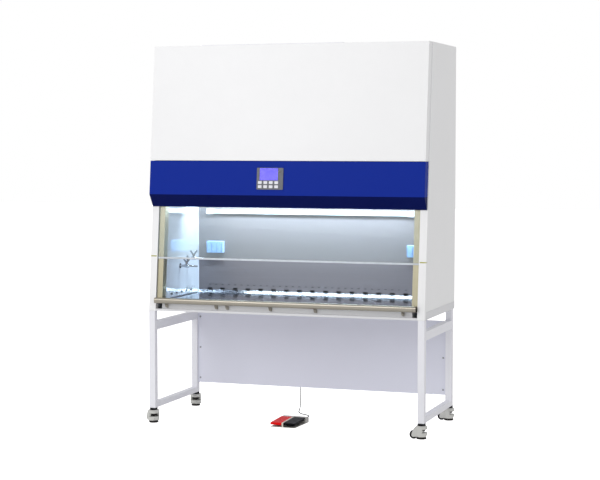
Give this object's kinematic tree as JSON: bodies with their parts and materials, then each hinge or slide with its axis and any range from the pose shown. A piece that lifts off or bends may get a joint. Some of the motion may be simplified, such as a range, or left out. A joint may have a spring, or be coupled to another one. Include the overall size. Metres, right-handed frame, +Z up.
{
  "type": "biosafety cabinet",
  "caption": "Biosafety cabinet with a leaning front, sliding glass sash and lit steel work chamber, on an open stand with levelling casters and a foot switch.",
  "frame": {"origin": "on the floor, under the middle of the cabinet's overall width and depth", "axes": "+Z up, +X to the user's right, +Y from the user towards the back"},
  "size_m": [1.7519, 0.7662, 2.27],
  "materials": {
    "body_paint": "powder coated, satin",
    "stand_paint": "powder coated, satin",
    "band_paint": "semi-gloss",
    "stainless": "fine brushed",
    "wire_steel": "satin",
    "filter_frame": "mill",
    "sheet_steel": "galvanised",
    "lamp_glass": "clear",
    "lamp_plastic": "matte",
    "sash_glass": "clear, toughened",
    "edge_metal": "satin",
    "panel_plastic": "satin",
    "display": "clear over a lit screen",
    "key_plastic": "satin",
    "socket_plastic": "satin",
    "flap_plastic": "translucent",
    "chrome": "plated",
    "handle_plastic": "satin",
    "caster_metal": "satin",
    "wheel_plastic": "matte",
    "foot_rubber": "matte",
    "stem_steel": "black plated",
    "switch_metal": "satin",
    "red_paint": "gloss",
    "black_paint": "gloss",
    "cable": "satin",
    "screw_steel": "plated"
  },
  "bodies": {
    "cabinet": {"stand_left_frame": "stand_paint", "stand_right_frame": "stand_paint", "stand_back_panel": "stand_paint", "caster_stems": "stem_steel", "base_pan": "body_paint", "left_side_panel": "body_paint", "right_side_panel": "body_paint", "rear_panel": "body_paint", "top_panel": "body_paint", "front_cover": "body_paint", "control_fascia": "band_paint", "sash_guides": "stainless", "chamber_walls": "stainless", "ceiling_diffuser": "stainless", "work_surface": "stainless", "intake_grille": "stainless", "armrest": "stainless", "supply_filter": "filter_frame", "exhaust_filter": "filter_frame", "exhaust_guard": "wire_steel", "plenum_box": "sheet_steel", "blower_housing": "sheet_steel", "lamp_tubes": "lamp_glass", "lamp_holders": "lamp_plastic", "control_panel": "panel_plastic", "display_window": "display", "socket_boxes": "socket_plastic", "service_cocks": "chrome", "foot_switch_base": "switch_metal", "foot_switch_cable": "cable", "fasteners": "screw_steel"},
    "sash": {"sash_glass": "sash_glass", "sash_edge": "edge_metal"},
    "impeller": {"blower_impeller": "sheet_steel"},
    "swivel_front_left": {"caster_housing_front_left": "caster_metal"},
    "wheel_front_left": {"caster_wheel_front_left": "wheel_plastic"},
    "foot_front_left": {"levelling_foot_front_left": "foot_rubber"},
    "swivel_front_right": {"caster_housing_front_right": "caster_metal"},
    "wheel_front_right": {"caster_wheel_front_right": "wheel_plastic"},
    "foot_front_right": {"levelling_foot_front_right": "foot_rubber"},
    "swivel_rear_left": {"caster_housing_rear_left": "caster_metal"},
    "wheel_rear_left": {"caster_wheel_rear_left": "wheel_plastic"},
    "foot_rear_left": {"levelling_foot_rear_left": "foot_rubber"},
    "swivel_rear_right": {"caster_housing_rear_right": "caster_metal"},
    "wheel_rear_right": {"caster_wheel_rear_right": "wheel_plastic"},
    "foot_rear_right": {"levelling_foot_rear_right": "foot_rubber"},
    "key_1": {"key_1": "key_plastic"},
    "key_2": {"key_2": "key_plastic"},
    "key_3": {"key_3": "key_plastic"},
    "key_4": {"key_4": "key_plastic"},
    "key_5": {"key_5": "key_plastic"},
    "key_6": {"key_6": "key_plastic"},
    "key_7": {"key_7": "key_plastic"},
    "key_8": {"key_8": "key_plastic"},
    "flap_left": {"socket_flap_left": "flap_plastic"},
    "flap_right": {"socket_flap_right": "flap_plastic"},
    "cock_upper": {"cock_handle_upper": "handle_plastic"},
    "cock_lower": {"cock_handle_lower": "handle_plastic"},
    "red_pedal": {"red_pedal": "red_paint"},
    "black_pedal": {"black_pedal": "black_paint"}
  },
  "joints": [
    {"name": "sash_slide", "type": "slide", "parent": "cabinet", "child": "sash", "axis": [0, 0.1011, 0.9949], "range_m": [-0.236, 0.27]},
    {"name": "impeller_spin", "type": "hinge", "parent": "cabinet", "child": "impeller", "pos_m": [0, 0.019, 1.964], "axis": [1, 0, 0], "continuous": true},
    {"name": "swivel_front_left_turn", "type": "hinge", "parent": "cabinet", "child": "swivel_front_left", "pos_m": [-0.83, -0.335, 0.065], "axis": [0, 0, 1], "continuous": true},
    {"name": "wheel_front_left_roll", "type": "hinge", "parent": "swivel_front_left", "child": "wheel_front_left", "pos_m": [-0.86371, -0.30672, 0.025], "axis": [-0.6428, -0.766, 0], "continuous": true},
    {"name": "foot_front_left_screw", "type": "slide", "parent": "swivel_front_left", "child": "foot_front_left", "axis": [0, 0, -1], "range_m": [0, 0.007]},
    {"name": "swivel_front_right_turn", "type": "hinge", "parent": "cabinet", "child": "swivel_front_right", "pos_m": [0.83, -0.335, 0.065], "axis": [0, 0, 1], "continuous": true},
    {"name": "wheel_front_right_roll", "type": "hinge", "parent": "swivel_front_right", "child": "wheel_front_right", "pos_m": [0.78667, -0.34264, 0.025], "axis": [0.1736, -0.9848, 0], "continuous": true},
    {"name": "foot_front_right_screw", "type": "slide", "parent": "swivel_front_right", "child": "foot_front_right", "axis": [0, 0, -1], "range_m": [0, 0.007]},
    {"name": "swivel_rear_left_turn", "type": "hinge", "parent": "cabinet", "child": "swivel_rear_left", "pos_m": [-0.83, 0.315, 0.065], "axis": [0, 0, 1], "continuous": true},
    {"name": "wheel_rear_left_roll", "type": "hinge", "parent": "swivel_rear_left", "child": "wheel_rear_left", "pos_m": [-0.84139, 0.3575, 0.025], "axis": [-0.9659, -0.2588, 0], "continuous": true},
    {"name": "foot_rear_left_screw", "type": "slide", "parent": "swivel_rear_left", "child": "foot_rear_left", "axis": [0, 0, -1], "range_m": [0, 0.007]},
    {"name": "swivel_rear_right_turn", "type": "hinge", "parent": "cabinet", "child": "swivel_rear_right", "pos_m": [0.83, 0.315, 0.065], "axis": [0, 0, 1], "continuous": true},
    {"name": "wheel_rear_right_roll", "type": "hinge", "parent": "swivel_rear_right", "child": "wheel_rear_right", "pos_m": [0.78667, 0.30736, 0.025], "axis": [0.1736, -0.9848, 0], "continuous": true},
    {"name": "foot_rear_right_screw", "type": "slide", "parent": "swivel_rear_right", "child": "foot_rear_right", "axis": [0, 0, -1], "range_m": [0, 0.007]},
    {"name": "key_1_press", "type": "slide", "parent": "cabinet", "child": "key_1", "axis": [0, 0.9949, -0.1011], "range_m": [0, 0.001], "stiffness_N_per_m": 800, "springref_m": -0.0005},
    {"name": "key_2_press", "type": "slide", "parent": "cabinet", "child": "key_2", "axis": [0, 0.9949, -0.1011], "range_m": [0, 0.001], "stiffness_N_per_m": 800, "springref_m": -0.0005},
    {"name": "key_3_press", "type": "slide", "parent": "cabinet", "child": "key_3", "axis": [0, 0.9949, -0.1011], "range_m": [0, 0.001], "stiffness_N_per_m": 800, "springref_m": -0.0005},
    {"name": "key_4_press", "type": "slide", "parent": "cabinet", "child": "key_4", "axis": [0, 0.9949, -0.1011], "range_m": [0, 0.001], "stiffness_N_per_m": 800, "springref_m": -0.0005},
    {"name": "key_5_press", "type": "slide", "parent": "cabinet", "child": "key_5", "axis": [0, 0.9949, -0.1011], "range_m": [0, 0.001], "stiffness_N_per_m": 800, "springref_m": -0.0005},
    {"name": "key_6_press", "type": "slide", "parent": "cabinet", "child": "key_6", "axis": [0, 0.9949, -0.1011], "range_m": [0, 0.001], "stiffness_N_per_m": 800, "springref_m": -0.0005},
    {"name": "key_7_press", "type": "slide", "parent": "cabinet", "child": "key_7", "axis": [0, 0.9949, -0.1011], "range_m": [0, 0.001], "stiffness_N_per_m": 800, "springref_m": -0.0005},
    {"name": "key_8_press", "type": "slide", "parent": "cabinet", "child": "key_8", "axis": [0, 0.9949, -0.1011], "range_m": [0, 0.001], "stiffness_N_per_m": 800, "springref_m": -0.0005},
    {"name": "flap_left_lift", "type": "hinge", "parent": "cabinet", "child": "flap_left", "pos_m": [-0.648, 0.1987, 1.0605], "axis": [-1, 0, 0], "range_deg": [0, 95]},
    {"name": "flap_right_lift", "type": "hinge", "parent": "cabinet", "child": "flap_right", "pos_m": [0.648, 0.1987, 1.0605], "axis": [-1, 0, 0], "range_deg": [0, 95]},
    {"name": "cock_upper_turn", "type": "hinge", "parent": "cabinet", "child": "cock_upper", "pos_m": [-0.726, 0.042, 0.99], "axis": [0, 0, 1], "range_deg": [0, 90]},
    {"name": "cock_lower_turn", "type": "hinge", "parent": "cabinet", "child": "cock_lower", "pos_m": [-0.726, -0.068, 0.95], "axis": [0, 0, 1], "range_deg": [0, 90]},
    {"name": "red_pedal_press", "type": "hinge", "parent": "cabinet", "child": "red_pedal", "pos_m": [-0.02749, -0.09907, 0.026], "axis": [0.9986, -0.0523, 0], "range_deg": [0, 3.5], "stiffness_Nm_per_rad": 20, "springref_deg": -3.44},
    {"name": "black_pedal_press", "type": "hinge", "parent": "cabinet", "child": "black_pedal", "pos_m": [-0.02749, -0.09907, 0.026], "axis": [0.9986, -0.0523, 0], "range_deg": [0, 3.5], "stiffness_Nm_per_rad": 20, "springref_deg": -3.44}
  ]
}
